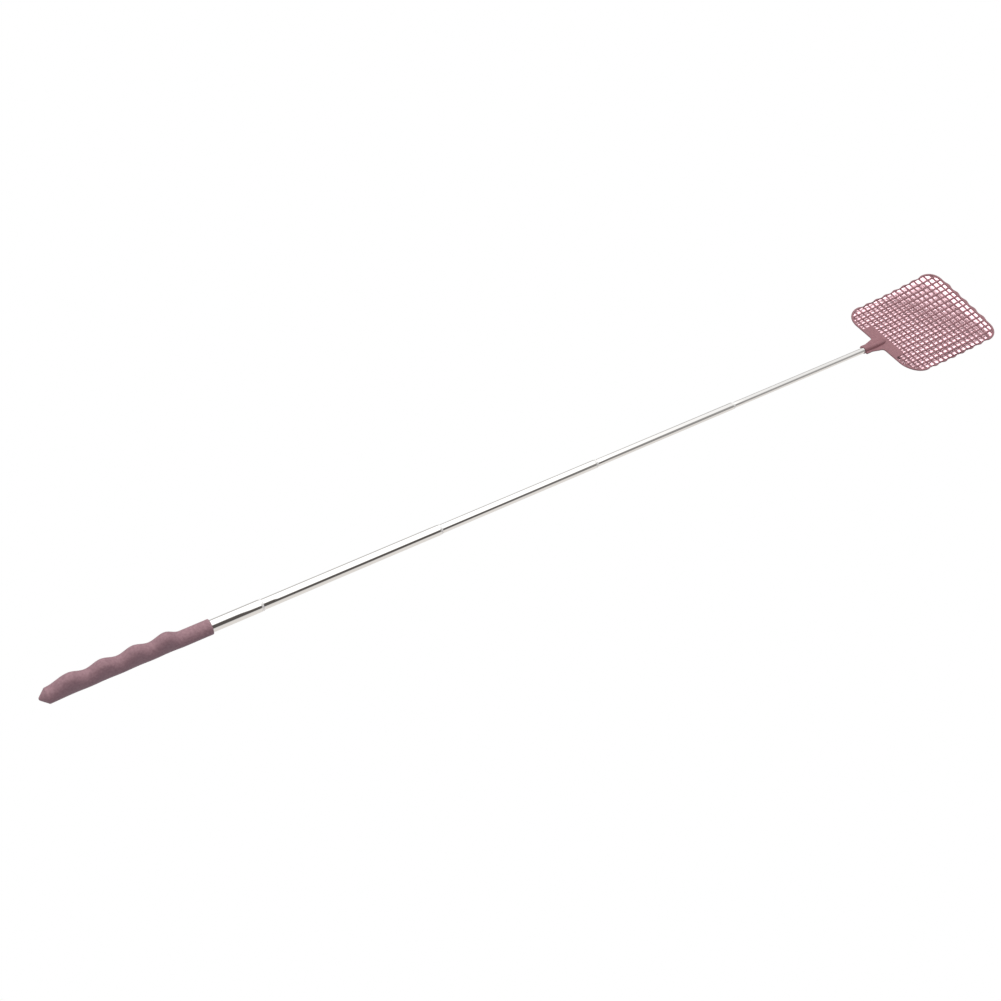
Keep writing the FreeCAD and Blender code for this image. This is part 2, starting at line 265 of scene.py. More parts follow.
def tube_profile(k):
    """Closed (x, r) outline of tube k's wall, with the drawn-in mouth that guides the next tube."""
    low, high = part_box(f"tube_{k}")
    x0, x1 = low.x / MM, high.x / MM
    outer = FIRST_TUBE_RADIUS - TUBE_RADIUS_STEP * (k - 1)
    inner = outer - TUBE_WALL
    if k == LAST_TUBE:
        return rounded_profile([
            (x0, inner, 0),
            (x0, outer, TUBE_EDGE),
            (x1, outer, TUBE_EDGE),
            (x1, inner, 0),
            (x0, inner, 0),
        ])
    drawn = inner - (outer - TUBE_RADIUS_STEP + NECK_CLEARANCE)
    shoulder, lip = x1 - NECK_LENGTH - NECK_TAPER, x1 - NECK_LENGTH
    return rounded_profile([
        (x0, inner, 0),
        (x0, outer, TUBE_EDGE),
        (shoulder, outer, SHOULDER_FILLET),
        (lip, outer - drawn, LIP_FILLET),
        (x1, outer - drawn, MOUTH_OUTER_EDGE),
        (x1, inner - drawn, MOUTH_INNER_EDGE),
        (lip, inner - drawn, LIP_FILLET),
        (shoulder, inner, SHOULDER_FILLET),
        (x0, inner, 0),
    ])


def make_tube(k):
    """Tube k: its wall's outline turned round the axis, in rings about TUBE_RING_GAP apart at most."""
    profile = tube_profile(k)
    dense = []
    for (xa, ra), (xb, rb) in zip(profile, profile[1:]):
        pieces = max(1, round(abs(xb - xa) / TUBE_RING_GAP))
        dense += [(xa + (xb - xa) * i / pieces, ra + (rb - ra) * i / pieces) for i in range(pieces)]
    dense.append(profile[-1])
    builder = Builder()
    builder.tube_of_rings([circle_ring(x, r, TUBE_POINTS) for x, r in dense], close_ends=False)
    return mesh_object(f"tube_{k}_polished", builder.vertices, builder.faces, 50)


# ---------------------------------------------------------------- head

CELL = 4.88
HOLE_COLUMNS = 19
HOLE_ROWS = 15
CENTRE_X = SOCKET_X + 12.815 * CELL
REAR_EDGE = -9.605 * CELL
FRONT_EDGE = 9.485 * CELL
HALF_WIDTH = 7.82 * CELL
WAVE_LENGTH = 1.95 * CELL
WAVE_DEPTH = 1.0
FIRST_SIDE_CREST = -6.45 * CELL
SIDE_WAVES = 7
LAST_SIDE_CREST = FIRST_SIDE_CREST + SIDE_WAVES * WAVE_LENGTH
FRONT_WAVE_REACH = 2.5 * WAVE_LENGTH
REAR_CORNER = FIRST_SIDE_CREST - REAR_EDGE
FRONT_CORNER = FRONT_EDGE - LAST_SIDE_CREST
REAR_CORNER_V = HALF_WIDTH - REAR_CORNER
FRONT_CORNER_V = HALF_WIDTH - FRONT_CORNER
RIM_WEB = 1.7
PAD_COLUMNS = 2
PAD_HALF_ROWS = 3
NECK_MOUTH_HALF_WIDTH = 2.7
NECK_ROOT_HALF_WIDTH = 6.6
NECK_FILLET_REACH = 1.98
PLATE_THICKNESS = 1.1
RIB_WIDTH = 1.4
WEB_WIDTH = 1.5
WEB_THICKNESS = 0.65
BEND_RADIUS = 554.0
BEND_START = 14.6
TWIST = 0.386 * CELL
TWIST_U = 10 * CELL
TWIST_V = 8 * CELL
TWIST_FADE = 20
SOCKET_RADIUS = 2.16
BOSS_RADIUS = 2.65
BOSS_STRAIGHT = 16.5
BOSS_NOSE = 7.0
NOSE_POWER = 1.9
NOSE_TIP_RADIUS = 0.03
SOCKET_DEPTH = 13.9
SOCKET_LEAD_IN = 0.12
MOUTH_EDGE_LENGTH = 0.25
MOUTH_BEVEL = 0.07
MOUTH_FACE_INSET = 0.22
HOLE_CORNER = 0.6
GUSSET_SINK = 0.2
GUSSET_LOW_GAP = 0.1
GUSSET_HIGH_GAP = 0.05
SLAB_EDGE = 0.34
STRAND_EDGE = 0.3
RIB_LOW_GAP = 0.02
WEB_LOW_GAP = 0.04
SOFTNESS = 0.3
SOFT_START = 0.3
SOFT_LENGTH = BOSS_STRAIGHT + BOSS_NOSE + 1.2
SOFT_HALF_WIDTH = BOSS_RADIUS + 1.4
SOFT_BORDER = 0.5
SOFT_SINK = 0.06

# How finely the head is divided.
NECK_STEPS = 12
NECK_FILLET_STEPS = 8
REAR_STEPS = 10
REAR_CORNER_STEPS = 32
FRONT_CORNER_STEPS = 28
INNER_CORNER_STEPS = 20
WAVE_GAP = 0.45
INNER_GAP = 0.9
RIB_STEPS = 60
WEB_STEPS = 40
STRAND_EDGE_STEPS = 4
GUSSET_STEPS = 5
BOSS_POINTS = 72
BOSS_STEPS = 12
NOSE_STEPS = 26
SOFT_ROWS = 70
SOFT_COLUMNS = 44

# A rib runs between each two rows of holes, and a web between each two columns.
RIBS = range(-(HOLE_ROWS // 2), HOLE_ROWS // 2)
WEBS = range(-(HOLE_COLUMNS // 2), HOLE_COLUMNS // 2)


def placed(u, v, w):
    """Point of the flat head (u along, v across, w above mid-plane) on the curled, slightly twisted one."""
    x = CENTRE_X + u
    past = x - SOCKET_X - BEND_START
    if past <= 0:
        angle = 0.0
    else:
        angle = math.asin(past / BEND_RADIUS)
    rise = BEND_RADIUS * (1 - math.cos(angle))
    fade = ease((x - SOCKET_X) / TWIST_FADE)
    twist = TWIST * fade * (u / TWIST_U) * (v / TWIST_V)
    return (x - w * math.sin(angle), v, rise + twist + w * math.cos(angle))


def wave(t, crest):
    """Outline's height at t along an edge, between its troughs at 0 and its crests at WAVE_DEPTH."""
    return WAVE_DEPTH * (1 + math.cos(2 * math.pi * (t - crest) / WAVE_LENGTH)) / 2


def line(start, end, steps):
    """Points from start towards end, without the end."""
    du, dv = end[0] - start[0], end[1] - start[1]
    return [(start[0] + du * i / steps, start[1] + dv * i / steps) for i in range(steps)]


def quarter(centre, radius, start_deg, steps):
    """Points of a quarter circle, anticlockwise from start_deg, without the last."""
    angles = [math.radians(start_deg + 90 * i / steps) for i in range(steps)]
    return [(centre[0] + radius * math.cos(a), centre[1] + radius * math.sin(a)) for a in angles]


def neck_outline():
    """Side of the neck and the fillet at its root, and the point where the fillet meets the rear edge."""
    mouth = Vector((SOCKET_X - CENTRE_X, -NECK_MOUTH_HALF_WIDTH))
    root = Vector((REAR_EDGE, -NECK_ROOT_HALF_WIDTH))
    start = root - (root - mouth).normalized() * NECK_FILLET_REACH
    end = Vector((root.x, root.y - NECK_FILLET_REACH))
    points = [tuple(mouth.lerp(start, i / NECK_STEPS)) for i in range(NECK_STEPS)]
    for i in range(NECK_FILLET_STEPS):
        t = i / NECK_FILLET_STEPS
        points.append(tuple(start * (1 - t) ** 2 + root * 2 * t * (1 - t) + end * t ** 2))
    return points, tuple(end)


def lower_half_outline():
    """Outline points from the socket's mouth to the middle of the front edge, on the side v < 0."""
    points, neck_end = neck_outline()
    points += line(neck_end, (REAR_EDGE, -REAR_CORNER_V), REAR_STEPS)
    points += quarter((FIRST_SIDE_CREST, -REAR_CORNER_V), REAR_CORNER, 180, REAR_CORNER_STEPS)
    side_steps = round((LAST_SIDE_CREST - FIRST_SIDE_CREST) / WAVE_GAP)
    for i in range(side_steps):
        u = FIRST_SIDE_CREST + (LAST_SIDE_CREST - FIRST_SIDE_CREST) * i / side_steps
        points.append((u, -HALF_WIDTH + WAVE_DEPTH - wave(u, FIRST_SIDE_CREST)))
    points += quarter((LAST_SIDE_CREST, -FRONT_CORNER_V), FRONT_CORNER, 270, FRONT_CORNER_STEPS)
    front_steps = round(FRONT_CORNER_V / WAVE_GAP)
    for i in range(front_steps + 1):
        v = -FRONT_CORNER_V * (1 - i / front_steps)
        bulge = wave(v, 0) if abs(v) <= FRONT_WAVE_REACH else 0
        points.append((FRONT_EDGE + bulge, v))
    return points


def inner_outline():
    """Inside of the rim, which steps round the solid pad, as a closed list of points."""
    rear, front, side = REAR_EDGE + RIM_WEB, FRONT_EDGE - RIM_WEB, HALF_WIDTH - RIM_WEB
    pad_u = (-(HOLE_COLUMNS // 2) + PAD_COLUMNS - 0.5) * CELL + RIB_WIDTH / 2
    pad_v = (PAD_HALF_ROWS + 0.5) * CELL + RIB_WIDTH / 2

    def straight(start, end):
        return line(start, end, max(1, round(math.dist(start, end) / INNER_GAP)))

    half = [
        *straight((pad_u, 0), (pad_u, -pad_v)),
        *straight((pad_u, -pad_v), (rear, -pad_v)),
        *straight((rear, -pad_v), (rear, -REAR_CORNER_V)),
        *quarter((FIRST_SIDE_CREST, -REAR_CORNER_V), REAR_CORNER - RIM_WEB, 180, INNER_CORNER_STEPS),
        *straight((FIRST_SIDE_CREST, -side), (LAST_SIDE_CREST, -side)),
        *quarter((LAST_SIDE_CREST, -FRONT_CORNER_V), FRONT_CORNER - RIM_WEB, 270, INNER_CORNER_STEPS),
        *straight((front, -FRONT_CORNER_V), (front, 0)),
        (front, 0),
    ]
    return half + [(u, -v) for u, v in reversed(half[1:-1])]


def flat_slab(outlines, half_thickness, edge_radius):
    """Mesh of a flat plate with rounded edges, filled between the outlines, which hold holes too."""
    curve = bpy.data.curves.new("slab", "CURVE")
    curve.dimensions = "2D"
    curve.fill_mode = "BOTH"
    curve.extrude = (half_thickness - edge_radius) * MM
    curve.bevel_depth = edge_radius * MM
    curve.bevel_resolution = 2
    for outline in outlines:
        spline = curve.splines.new("POLY")
        spline.points.add(len(outline) - 1)
        for point, (u, v) in zip(spline.points, outline):
            point.co = (u * MM, v * MM, 0, 1)
        spline.use_cyclic_u = True
    obj = bpy.data.objects.new("slab", curve)
    bpy.context.scene.collection.objects.link(obj)
    bpy.context.view_layer.update()
    mesh = obj.evaluated_get(bpy.context.evaluated_depsgraph_get()).to_mesh()
    vertices = [tuple(v.co / MM) for v in mesh.vertices]
    faces = [tuple(p.vertices) for p in mesh.polygons]
    bpy.data.objects.remove(obj)
    return vertices, faces


def inset_outline(outline, distance):
    """The outline moved inward, so that the slab's rounded edge ends on the true one."""
    count = len(outline)
    moved = []
    for i in range(count):
        before, after = Vector(outline[i - 1]), Vector(outline[(i + 1) % count])
        tangent = (after - before).normalized()
        moved.append((outline[i][0] - tangent.y * distance, outline[i][1] + tangent.x * distance))
    return moved


def bar_section(width, low, high):
    """Cross-section of a rib or web as (across, height) points, anticlockwise, with rounded edges."""
    half, middle = width / 2, (low + high) / 2
    points = []
    for across, height, start in ((half, low, -90), (half, high, 0), (-half, high, 90), (-half, low, 180)):
        centre_across = across - math.copysign(STRAND_EDGE, across)
        centre_height = height - math.copysign(STRAND_EDGE, height - middle)
        for i in range(STRAND_EDGE_STEPS + 1):
            a = math.radians(start + 90 * i / STRAND_EDGE_STEPS)
            off_across, off_height = STRAND_EDGE * math.cos(a), STRAND_EDGE * math.sin(a)
            points.append((centre_across + off_across, centre_height + off_height))
    return points


def corner_reach(radius, off):
    """How far the middle of the rim's width lies beyond a corner's centre, at a distance off it."""
    return math.sqrt(max(0, (radius - RIM_WEB / 2) ** 2 - off ** 2))


def rim_reach_u(v):
    """Where the middle of the rim's width lies to the rear and to the front at v, for ribs to end in."""
    rear, front = REAR_EDGE + RIM_WEB / 2, FRONT_EDGE - RIM_WEB / 2
    if abs(v) > REAR_CORNER_V:
        rear = FIRST_SIDE_CREST - corner_reach(REAR_CORNER, abs(v) - REAR_CORNER_V)
    if abs(v) > FRONT_CORNER_V:
        front = LAST_SIDE_CREST + corner_reach(FRONT_CORNER, abs(v) - FRONT_CORNER_V)
    return rear, front


def rim_reach_v(u):
    """How far the middle of the rim's width lies to each side at u, for webs to end in."""
    if u < FIRST_SIDE_CREST:
        return REAR_CORNER_V + corner_reach(REAR_CORNER, FIRST_SIDE_CREST - u)
    if u > LAST_SIDE_CREST:
        return FRONT_CORNER_V + corner_reach(FRONT_CORNER, u - LAST_SIDE_CREST)
    return HALF_WIDTH - RIM_WEB / 2


def add_ribs(builder):
    """Ribs along the head, between the rows of holes, and lower webs across it, between the columns."""
    bottom, top = -PLATE_THICKNESS / 2, PLATE_THICKNESS / 2
    rib = bar_section(RIB_WIDTH, bottom + RIB_LOW_GAP, top)
    for j in RIBS:
        v0 = (j + 0.5) * CELL
        rear, front = rim_reach_u(v0)
        rings = []
        for i in range(RIB_STEPS + 1):
            u = rear + (front - rear) * i / RIB_STEPS
            rings.append([placed(u, v0 + across, height) for across, height in rib])
        builder.tube_of_rings(rings)
    web = bar_section(WEB_WIDTH, bottom + WEB_LOW_GAP, bottom + WEB_THICKNESS)
    for i in WEBS:
        u0 = (i + 0.5) * CELL
        reach = rim_reach_v(u0)
        rings = []
        for k in range(WEB_STEPS + 1):
            v = reach - 2 * reach * k / WEB_STEPS
            rings.append([placed(u0 + across, v, height) for across, height in web])
        builder.tube_of_rings(rings)


def gusset_outline(u0, v0, side_u, side_v):
    """Outline of one of the four gussets round the crossing of a rib and a web at (u0, v0)."""
    corner_u = u0 + side_u * (WEB_WIDTH / 2 - GUSSET_SINK)
    corner_v = v0 + side_v * (RIB_WIDTH / 2 - GUSSET_SINK)
    reach = HOLE_CORNER + GUSSET_SINK
    outline = [(corner_u, corner_v)]
    for k in range(GUSSET_STEPS + 1):
        a = math.pi / 2 * k / GUSSET_STEPS
        off_u, off_v = reach * (1 - math.sin(a)), reach * (1 - math.cos(a))
        outline.append((corner_u + side_u * off_u, corner_v + side_v * off_v))
    if side_u * side_v < 0:
        outline.reverse()
    return outline


def add_hole_corners(builder):
    """Small concave gussets that round the corners of the holes."""
    low = -PLATE_THICKNESS / 2 + GUSSET_LOW_GAP
    high = -PLATE_THICKNESS / 2 + WEB_THICKNESS - GUSSET_HIGH_GAP
    for i in WEBS:
        for j in RIBS:
            u0, v0 = (i + 0.5) * CELL, (j + 0.5) * CELL
            if abs(v0) > rim_reach_v(u0) - CELL / 3:
                continue
            for side_u, side_v in ((1, 1), (-1, 1), (-1, -1), (1, -1)):
                outline = gusset_outline(u0, v0, side_u, side_v)
                builder.tube_of_rings([[placed(u, v, height) for u, v in outline] for height in (high, low)])


def boss_radius(x):
    """Radius of the socket's outside at x from its mouth: straight, then a bullet nose."""
    if x <= BOSS_STRAIGHT:
        return BOSS_RADIUS
    t = min(1.0, (x - BOSS_STRAIGHT) / BOSS_NOSE)
    return BOSS_RADIUS * math.sqrt(max(0.0, 1 - t ** NOSE_POWER))


def add_boss(builder):
    """Round sleeve with an open mouth, whose nose sinks into the plate."""
    profile = [
        (SOCKET_DEPTH, SOCKET_RADIUS),
        (MOUTH_EDGE_LENGTH, SOCKET_RADIUS),
        (0.0, SOCKET_RADIUS + SOCKET_LEAD_IN),
        (0.0, BOSS_RADIUS - MOUTH_FACE_INSET),
        (MOUTH_BEVEL, BOSS_RADIUS - MOUTH_BEVEL),
        (MOUTH_EDGE_LENGTH, BOSS_RADIUS),
    ]
    profile += [(BOSS_STRAIGHT * i / BOSS_STEPS, BOSS_RADIUS) for i in range(1, BOSS_STEPS + 1)]
    for i in range(1, NOSE_STEPS + 1):
        x = BOSS_STRAIGHT + BOSS_NOSE * math.sin(math.pi / 2 * i / NOSE_STEPS)
        profile.append((x, max(NOSE_TIP_RADIUS, boss_radius(x))))
    builder.tube_of_rings([circle_ring(SOCKET_X + x, r, BOSS_POINTS) for x, r in profile])


def soft_height(x, v):
    """Height of the sleeve and plate as one softened surface, which sinks in at its borders."""
    dome = math.sqrt(max(0.0, boss_radius(x) ** 2 - v ** 2))
    plate = PLATE_THICKNESS / 2
    blend = max(0.0, 1 - abs(dome - plate) / (2 * SOFTNESS))
    height = max(dome, plate) + SOFTNESS * blend ** 2 / 2
    inside = min(1.0, (SOFT_HALF_WIDTH - abs(v)) / SOFT_BORDER, (SOFT_LENGTH - x) / SOFT_BORDER)
    return height - SOFT_SINK * (1 - inside)


def add_boss_fillets(builder):
    """Soft hollows where the sleeve meets the neck and the pad, above and below."""
    for sign in (1, -1):
        grid = []
        for i in range(SOFT_ROWS + 1):
            x = SOFT_START + (SOFT_LENGTH - SOFT_START) * i / SOFT_ROWS
            for j in range(SOFT_COLUMNS + 1):
                v = -SOFT_HALF_WIDTH + 2 * SOFT_HALF_WIDTH * j / SOFT_COLUMNS
                grid.append(placed(SOCKET_X - CENTRE_X + x, v, sign * soft_height(x, v)))
        faces = []
        for i in range(SOFT_ROWS):
            for j in range(SOFT_COLUMNS):
                a = i * (SOFT_COLUMNS + 1) + j
                quad = (a, a + SOFT_COLUMNS + 1, a + SOFT_COLUMNS + 2, a + 1)
                faces.append(quad if sign > 0 else tuple(reversed(quad)))
        builder.add(grid, faces)


def make_head():
    """Rim, pad and neck as one slab with rounded edges, then the mesh, the sleeve and its fillets."""
    lower = lower_half_outline()
    outline = lower + [(u, -v) for u, v in reversed(lower[:-1])]
    slab_outlines = [inset_outline(outline, SLAB_EDGE), inset_outline(inner_outline(), -SLAB_EDGE)]
    vertices, faces = flat_slab(slab_outlines, PLATE_THICKNESS / 2, SLAB_EDGE)
    builder = Builder()
    builder.add([placed(*v) for v in vertices], faces)
    add_ribs(builder)
    add_hole_corners(builder)
    add_boss(builder)
    add_boss_fillets(builder)
    return mesh_object("head_mesh", builder.vertices, builder.faces, 42)


# ---------------------------------------------------------------- materials

class Nodes:
    """Short way to build a node tree."""

    def __init__(self, tree):
        self.tree = tree
        tree.nodes.clear()

    def add(self, kind, **settings):
        node = self.tree.nodes.new(kind)
        for key, value in settings.items():
            if key == "inputs":
                for name, v in value.items():
                    node.inputs[name].default_value = v
            else:
                setattr(node, key, value)
        return node

    def link(self, a, b):
        self.tree.links.new(a, b)

    def coordinates(self, scale=(1, 1, 1)):
        position = self.add("ShaderNodeTexCoord")
        mapping = self.add("ShaderNodeMapping", inputs={"Scale": scale})
        self.link(position.outputs["Object"], mapping.inputs["Vector"])
        return mapping.outputs["Vector"]

    def noise(self, scale, detail=3.0, stretch=(1, 1, 1)):
        node = self.add("ShaderNodeTexNoise", inputs={"Scale": scale, "Detail": detail})
        self.link(self.coordinates(stretch), node.inputs["Vector"])
        return node.outputs["Fac"]

    def ramp(self, factor, stops):
        node = self.add("ShaderNodeValToRGB")
        elements = node.color_ramp.elements
        while len(elements) < len(stops):
            elements.new(0.5)
        for element, (position, colour) in zip(elements, stops):
            element.position = position
            element.color = (*colour, 1)
        self.link(factor, node.inputs["Fac"])
        return node.outputs["Color"]

    def math(self, operation, a, b=0.0, c=0.0):
        node = self.add("ShaderNodeMath", operation=operation)
        for socket, value in zip(node.inputs, (a, b, c)):
            if hasattr(value, "links"):
                self.link(value, socket)
            else:
                socket.default_value = value
        return node.outputs[0]

    def map_range(self, value, from_low, from_high, to_low, to_high):
        node = self.add("ShaderNodeMapRange", interpolation_type="SMOOTHSTEP")
        self.link(value, node.inputs["Value"])
        names = ("From Min", "From Max", "To Min", "To Max")
        for name, v in zip(names, (from_low, from_high, to_low, to_high)):
            node.inputs[name].default_value = v
        return node.outputs["Result"]

    def mix(self, factor, a, b, mode="MIX"):
        node = self.add("ShaderNodeMix", data_type="RGBA", blend_type=mode)
        for name, value in (("Factor", factor), ("A", a), ("B", b)):
            socket = next(s for s in node.inputs if s.name == name and s.enabled)
            if hasattr(value, "links"):
                self.link(value, socket)
            else:
                socket.default_value = value if name == "Factor" else (*value, 1)
        return next(s for s in node.outputs if s.enabled)

    def grey(self, value):
        node = self.add("ShaderNodeCombineXYZ")
        for socket in node.inputs:
            self.link(value, socket)
        return node.outputs[0]

    def bump(self, height, strength, distance):
        node = self.add("ShaderNodeBump", inputs={"Strength": strength, "Distance": distance})
        self.link(height, node.inputs["Height"])
        return node.outputs["Normal"]


def new_material(name):
    """Material with one principled shader, the short way to its nodes, and the shader."""
    material = bpy.data.materials.new(name)
    material.use_nodes = True
    nodes = Nodes(material.node_tree)
    shader = nodes.add("ShaderNodeBsdfPrincipled")
    output = nodes.add("ShaderNodeOutputMaterial")
    nodes.link(shader.outputs["BSDF"], output.inputs["Surface"])
    return material, nodes, shader


def soft_touch_material():
    """Matt, slightly velvety mauve coating with a fine, uneven tooth."""
    material, nodes, shader = new_material("grip_soft_touch")
    grain = nodes.noise(700, 4.0)
    colour = nodes.ramp(grain, [(0.30, (0.225, 0.124, 0.145)), (0.70, (0.305, 0.178, 0.200))])
    nodes.link(colour, shader.inputs["Base Color"])
    nodes.link(nodes.map_range(grain, 0.2, 0.8, 0.50, 0.66), shader.inputs["Roughness"])
    nodes.link(nodes.bump(nodes.noise(2600, 2.0), 0.2, 0.00012), shader.inputs["Normal"])
    shader.inputs["Specular IOR Level"].default_value = 0.4
    return material


def head_material():
    """Satin moulded plastic: maroon in itself, paler where its flat faces catch the light."""
    material, nodes, shader = new_material("head_plastic")
    grain = nodes.noise(500, 4.0)
    colour = nodes.ramp(grain, [(0.30, (0.186, 0.066, 0.080)), (0.70, (0.240, 0.094, 0.110))])
    nodes.link(colour, shader.inputs["Base Color"])
    fine = nodes.noise(1800, 3.0)
    nodes.link(nodes.map_range(fine, 0.2, 0.8, 0.36, 0.50), shader.inputs["Roughness"])
    nodes.link(nodes.bump(fine, 0.10, 0.0001), shader.inputs["Normal"])
    shader.inputs["Specular IOR Level"].default_value = 0.8
    return material


def steel_material():
    """Polished stainless tube, with faint lengthwise drawing lines and a few smudges."""
    material, nodes, shader = new_material("tube_steel")
    drawn = nodes.noise(900, 2.0, (0.01, 1, 1))
    smudge = nodes.noise(90, 3.0)
    colour = nodes.ramp(drawn, [(0.35, (0.78, 0.765, 0.745)), (0.65, (0.83, 0.815, 0.80))])
    nodes.link(colour, shader.inputs["Base Color"])
    nodes.link(nodes.map_range(smudge, 0.35, 0.75, 0.04, 0.09), shader.inputs["Roughness"])
    nodes.link(nodes.bump(drawn, 0.03, 0.00003), shader.inputs["Normal"])
    shader.inputs["Metallic"].default_value = 1.0
    return material


def spun_steel_material():
    """Steel dulled by the rollers that drew the tube's mouth in, with fine rings round the axis."""
    material, nodes, shader = new_material("mouth_steel")
    rings = nodes.noise(2600, 2.0, (1, 0.02, 0.02))
    colour = nodes.ramp(rings, [(0.35, (0.86, 0.85, 0.84)), (0.65, (0.93, 0.92, 0.91))])
    nodes.link(colour, shader.inputs["Base Color"])
    nodes.link(nodes.map_range(rings, 0.3, 0.7, 0.55, 0.70), shader.inputs["Roughness"])
    nodes.link(nodes.bump(rings, 0.15, 0.00003), shader.inputs["Normal"])
    shader.inputs["Metallic"].default_value = 1.0
    return material


def turned_metal_material(name, dark, light):
    """Turned copper alloy: fine rings round the axis and a slightly uneven tone."""
    material, nodes, shader = new_material(name)
    rings = nodes.noise(2200, 1.0, (1, 0.02, 0.02))
    tone = nodes.noise(400, 3.0)
    nodes.link(nodes.ramp(tone, [(0.3, dark), (0.7, light)]), shader.inputs["Base Color"])
    nodes.link(nodes.map_range(rings, 0.3, 0.7, 0.20, 0.38), shader.inputs["Roughness"])
    nodes.link(nodes.bump(rings, 0.2, 0.00004), shader.inputs["Normal"])
    shader.inputs["Metallic"].default_value = 1.0
    return material


def plug_material():
    """Plain black moulding with a dull grain."""
    material, nodes, shader = new_material("plug_plastic")
    grain = nodes.noise(900, 4.0)
    colour = nodes.ramp(grain, [(0.3, (0.018, 0.018, 0.019)), (0.7, (0.035, 0.034, 0.034))])
    nodes.link(colour, shader.inputs["Base Color"])
    nodes.link(nodes.map_range(grain, 0.2, 0.8, 0.45, 0.65), shader.inputs["Roughness"])
    nodes.link(nodes.bump(grain, 0.2, 0.0001), shader.inputs["Normal"])
    return material


def paint(obj, material):
    obj.data.materials.clear()
    obj.data.materials.append(material)


def paint_mouth(tube, k, material):
    """Second material on the drawn-in end of tube k, past the middle of its taper."""
    tube.data.materials.append(material)
    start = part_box(f"tube_{k}")[1].x - (NECK_LENGTH + NECK_TAPER / 2) * MM
    for face in tube.data.polygons:
        if face.center.x > start:
            face.material_index = 1


# ---------------------------------------------------------------- the swatter

def build_swatter():
    grip = make_grip()
    paint(grip, soft_touch_material())
    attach(grip, "handle")
    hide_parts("grip")

    steel = steel_material()
    spun = spun_steel_material()
    for k in range(1, LAST_TUBE + 1):
        tube = make_tube(k)
        paint(tube, steel)
        if k < LAST_TUBE:
            paint_mouth(tube, k, spun)
        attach(tube, "handle" if k == 1 else f"section_{k}")
        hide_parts(f"tube_{k}")

    head = make_head()
    paint(head, head_material())
    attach(head, f"section_{LAST_TUBE}")
    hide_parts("head")

    brass = turned_metal_material("bush_brass", (0.60, 0.40, 0.15), (0.74, 0.52, 0.22))
    bronze = turned_metal_material("leaf_bronze", (0.48, 0.26, 0.13), (0.62, 0.36, 0.19))
    plug = plug_material()
    for name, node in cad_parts.items():
        if name.startswith("bush"):
            paint(node, brass)
        elif name.startswith("leaf"):
            paint(node, bronze)
        elif name == "base_plug":
            paint(node, plug)
    return head


# ---------------------------------------------------------------- studio

FLOOR_SIZE = 9.0
FLOOR_DROP = 0.10
BOUNCE = (0.42, 0.42, 0.50)
FLOOR_IN_REFLECTIONS = (0.90, 0.87, 0.84)
# Painted shadow: reflections see the floor beyond the tubes' axis in this darker colour, standing in for the
# swatter's shadow on it.
SHADOWED_FLOOR_IN_REFLECTIONS = (0.60, 0.59, 0.575)
FLOOR_SHADOW_Y = (0.0, 0.05)

# The sheet under the head and the lamp that lights it. Lengths are in millimetres, from the head's centre.
RIM_INSET = 1.3
SIGHT_STEPS = 3
REST_TOLERANCE = 0.2
SHEET_U = (-62, 80)
SHEET_V = (-62, 70)
SHEET_HEIGHT = -1.35
SHEET_SLOPE = 0.057
SHEET_LEAN = -0.022
# Painted shade: under the strong sun the sheet burns out to white, so this pink shows only in the mesh's
# shadow, standing in for light tinted by the plastic.
SHEET_SHADE_PINK = (0.36, 0.237, 0.258)
SHEET_SUN = 16.5
SHEET_SUN_WIDTH = 24
SHEET_SUN_FROM = (0.57, 0.03, 1.0)

# The room. A pair is the stretch of a ray's direction over which what it sees changes: angles in degrees
# for BAND_RISE and BAND_FALL, and otherwise parts of the direction as a unit vector.
ROOM_LEAN = (-0.6, 0.8)
BAND_RISE = (2, 9)
BAND_FALL = (44, 58)
NEAR_GRIP = (0.205, 0.230)
NEAR_GRIP_WIDENING = 16
FAR_OUT = (0.42, 0.58)
FAR_OUT_WIDENING = 14
BAND_FADE = (0.38, 0.72)
BAND_END = (0.74, 0.86)
BAND_COLOUR = (0.11, 0.10, 0.095)
OVERHEAD = (0.08, 0.30)
CEILING_DIMS = (0.45, 0.64)

KEY_AT = (0.45, 0.55, 1.4)
KEY_TARGET = (0.4, 0, 0)
KEY_SIZE = (1.6, 1.2)
KEY_POWER = 14

CAMERA_AT = (-0.0328, -0.3650, 0.5890)
CAMERA_FORWARD = (0.4266, 0.4786, -0.7674)
CAMERA_UP = (0.3515, 0.6941, 0.6282)
SENSOR_WIDTH = 36.0
FOCAL_LENGTH = 43.57


def plain_paper(nodes):
    """White to the camera, dimmer as bounced light, and in reflections darker beyond the tubes' axis, where
    a shadow of the swatter is painted on the floor.
    """
    position = nodes.add("ShaderNodeSeparateXYZ")
    nodes.link(nodes.add("ShaderNodeNewGeometry").outputs["Position"], position.inputs[0])
    # Painted shadow of the swatter, seen only in reflections, sets in beyond the tubes' axis.
    behind = nodes.map_range(position.outputs[1], *FLOOR_SHADOW_Y, 0.0, 1.0)
    mirrored = nodes.mix(behind, FLOOR_IN_REFLECTIONS, SHADOWED_FLOOR_IN_REFLECTIONS)
    path = nodes.add("ShaderNodeLightPath")
    bounced = nodes.mix(path.outputs["Is Glossy Ray"], BOUNCE, mirrored)
    colour = nodes.mix(path.outputs["Is Camera Ray"], bounced, (1.0, 1.0, 1.0))
    emission = nodes.add("ShaderNodeEmission")
    nodes.link(colour, emission.inputs["Color"])
    return emission.outputs[0]


def stage_plane(name, corners):
    """Four-cornered sheet that belongs to the studio, and the nodes and output of its material."""
    mesh = bpy.data.meshes.new(name)
    mesh.from_pydata(corners, [], [(0, 1, 2, 3)])
    plane = bpy.data.objects.new(name, mesh)
    bpy.context.scene.collection.objects.link(plane)
    material = bpy.data.materials.new(name)
    material.use_nodes = True
    nodes = Nodes(material.node_tree)
    output = nodes.add("ShaderNodeOutputMaterial")
    paint(plane, material)
    return plane, nodes, output.inputs["Surface"]


